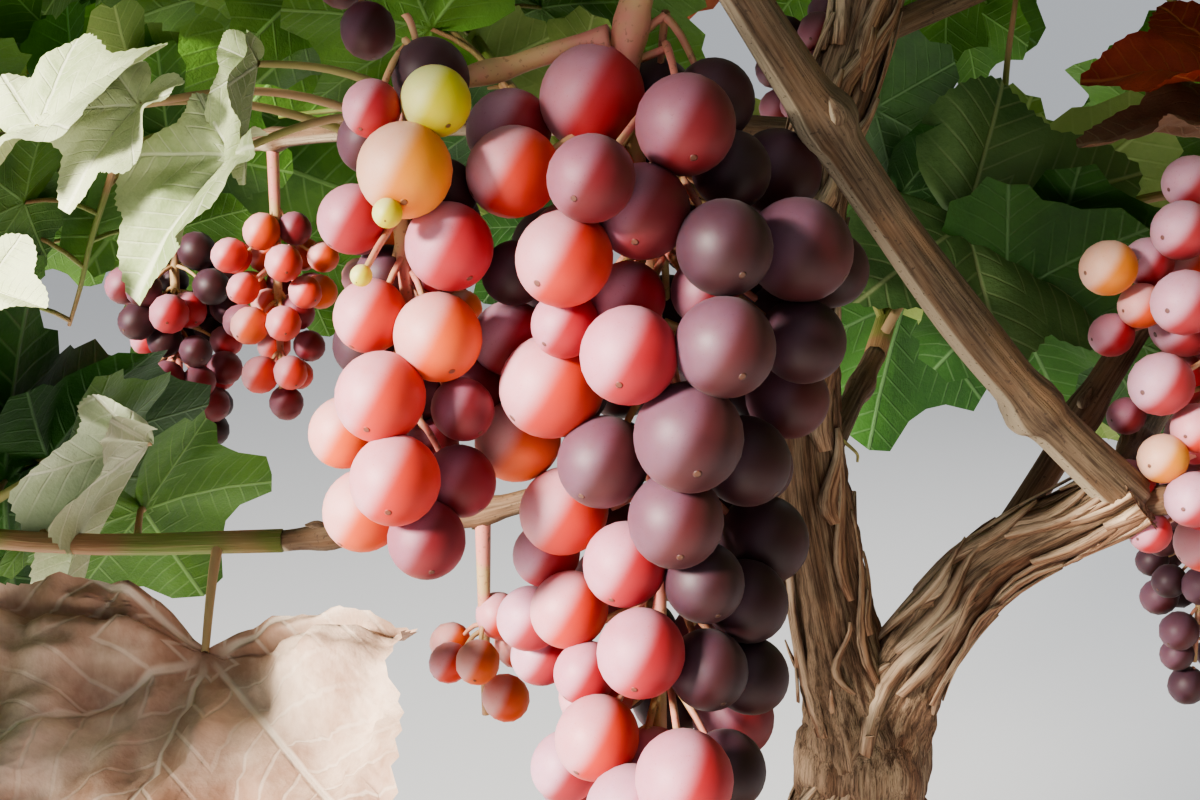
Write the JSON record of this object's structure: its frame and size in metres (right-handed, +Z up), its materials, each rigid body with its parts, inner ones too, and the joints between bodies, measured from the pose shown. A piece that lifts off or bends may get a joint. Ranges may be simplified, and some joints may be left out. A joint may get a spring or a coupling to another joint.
{
  "type": "potted grapevine",
  "caption": "Small grapevine in fruit in a round clay pot: forked trunk, canes with leafy shoots, and hanging bunches of pink to purple grapes.",
  "frame": {"origin": "centre of the flat underside of the pot", "axes": "+Z up along the trunk, +X to the right and -Y towards the viewer as the picture shows the vine"},
  "size_m": [0.9293, 0.7669, 1.2511],
  "materials": {
    "clay": "unglazed fired clay, slightly stained",
    "soil": "moist crumbly potting soil",
    "bark": "shredding stringy bark, pale tan where it lifts",
    "cane_bark": "smooth ripened cane, fine streaks along it",
    "foliage": "matt leaves, green with yellow, pale and brown ones among them",
    "fruit": "grape skin with a dull bloom, pink, orange, red and purple"
  },
  "bodies": {
    "root": {"pot": "clay", "soil": "soil", "trunk": "bark", "left_arm": "bark", "right_arm": "bark", "front_cane": "cane_bark", "right_cane": "cane_bark", "left_cane": "cane_bark", "low_back_left_cane": "cane_bark", "low_back_right_cane": "cane_bark", "middle_back_cane": "cane_bark", "low_right_cane": "cane_bark", "low_front_cane": "cane_bark", "inner_back_left_cane": "cane_bark", "inner_right_cane": "cane_bark", "inner_back_cane": "cane_bark", "back_cane": "cane_bark", "left_cane_above": "cane_bark", "front_left_cane": "cane_bark", "outer_right_cane": "cane_bark", "high_back_left_cane": "cane_bark", "high_left_cane": "cane_bark", "high_back_right_cane": "cane_bark", "high_right_cane": "cane_bark", "high_front_cane": "cane_bark", "top_cane": "cane_bark", "front_bunch": "fruit", "right_bunch": "fruit", "back_bunch": "fruit", "low_back_right_bunch": "fruit", "low_left_bunch": "fruit", "inner_back_left_bunch": "fruit", "middle_back_left_bunch": "fruit", "outer_back_left_bunch": "fruit", "high_back_left_bunch": "fruit", "low_right_bunch": "fruit", "left_bunch": "fruit", "high_right_bunch": "fruit", "front_shoot": "foliage", "right_shoot": "foliage", "left_shoot": "foliage", "low_back_left_shoot": "foliage", "low_back_right_shoot": "foliage", "middle_back_shoot": "foliage", "low_right_shoot": "foliage", "low_front_shoot": "foliage", "inner_back_left_shoot": "foliage", "inner_right_shoot": "foliage", "inner_back_shoot": "foliage", "back_shoot": "foliage", "left_shoot_above": "foliage", "front_left_shoot": "foliage", "outer_right_shoot": "foliage", "high_back_left_shoot": "foliage", "high_left_shoot": "foliage", "high_back_right_shoot": "foliage", "high_right_shoot": "foliage", "high_front_shoot": "foliage", "top_shoot": "foliage"}
  },
  "joints": []
}
